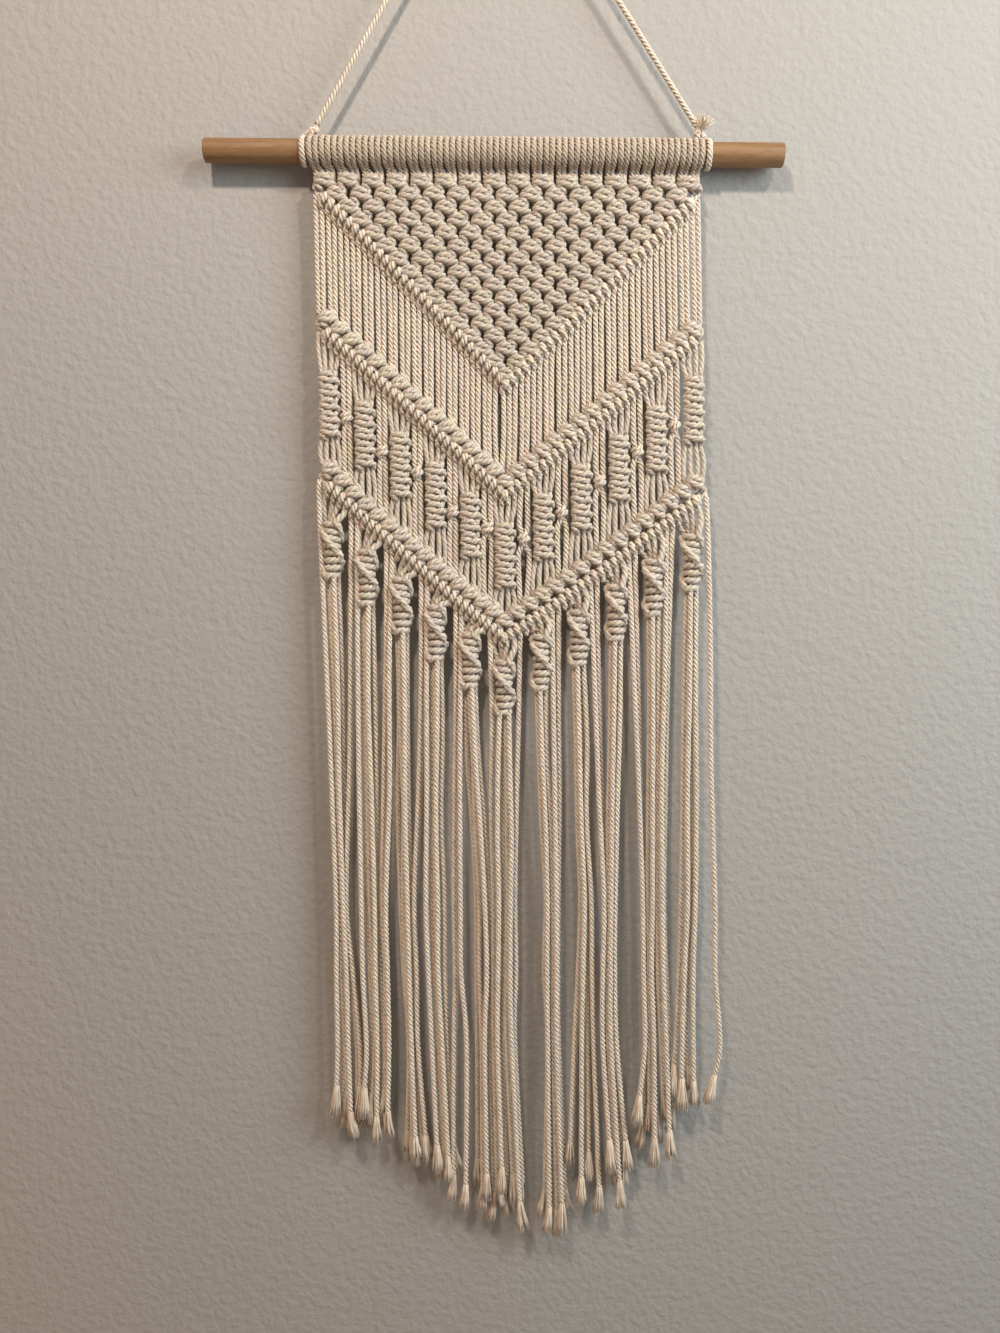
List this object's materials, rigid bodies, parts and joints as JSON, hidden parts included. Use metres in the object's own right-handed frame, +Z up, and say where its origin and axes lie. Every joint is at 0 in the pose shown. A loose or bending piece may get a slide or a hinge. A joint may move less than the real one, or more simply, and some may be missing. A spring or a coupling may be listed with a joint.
{
  "type": "macrame wall hanging on a wooden dowel",
  "caption": "Macrame wall hanging of cotton cord on a wooden dowel, with a triangular net, V-shaped rows of hitches, barred sinnets, spirals and a long frayed fringe, hung by a cord over a nail",
  "frame": {"origin": "the hanging point: the underside of the hanging cord's bend, where a nail or hook bears", "axes": "+Z up, the front faces -Y, the wall is on the +Y side and X runs across"},
  "size_m": [0.3022, 0.016, 0.7548],
  "materials": {
    "dowel": "bare sanded hardwood",
    "heading": "natural cotton cord, three-ply",
    "panel": "natural cotton cord, three-ply",
    "fringe": "natural cotton cord with frayed ends",
    "left_tie": "natural cotton cord, three-ply",
    "right_tie": "natural cotton cord, three-ply",
    "hanging_cord": "natural cotton cord, three-ply"
  },
  "bodies": {
    "root": {"dowel": "dowel", "heading": "heading", "panel": "panel", "fringe": "fringe", "left_tie": "left_tie", "right_tie": "right_tie", "hanging_cord": "hanging_cord"}
  },
  "joints": []
}
